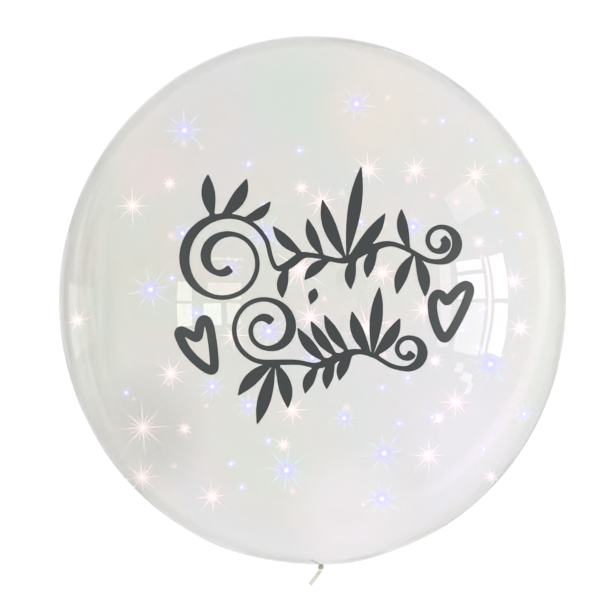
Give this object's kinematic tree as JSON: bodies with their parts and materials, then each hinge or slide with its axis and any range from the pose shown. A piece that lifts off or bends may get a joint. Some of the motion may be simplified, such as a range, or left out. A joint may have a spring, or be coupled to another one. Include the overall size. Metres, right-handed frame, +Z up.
{
  "type": "clear bubble balloon",
  "caption": "Round clear film balloon, inflated and tied at a short gathered neck, with dark cut-vinyl flourishes and heart outlines on one side.",
  "frame": {"origin": "centre of the small flat spot on the back, on the floor that the balloon lies on", "axes": "+Z up through the middle of the decorated side, +Y from the neck to the crown, +X to the right of the decoration"},
  "size_m": [0.4998, 0.5419, 0.4954],
  "materials": {
    "clear_film": "clear, glossy stretch film",
    "tie_band": "matte",
    "grey_vinyl": "satin"
  },
  "bodies": {
    "root": {"film_envelope": "clear_film", "neck_tie": "tie_band", "decal_upper_row": "grey_vinyl", "decal_lower_row": "grey_vinyl", "decal_bud": "grey_vinyl", "decal_heart_left": "grey_vinyl", "decal_heart_right": "grey_vinyl"}
  },
  "joints": []
}
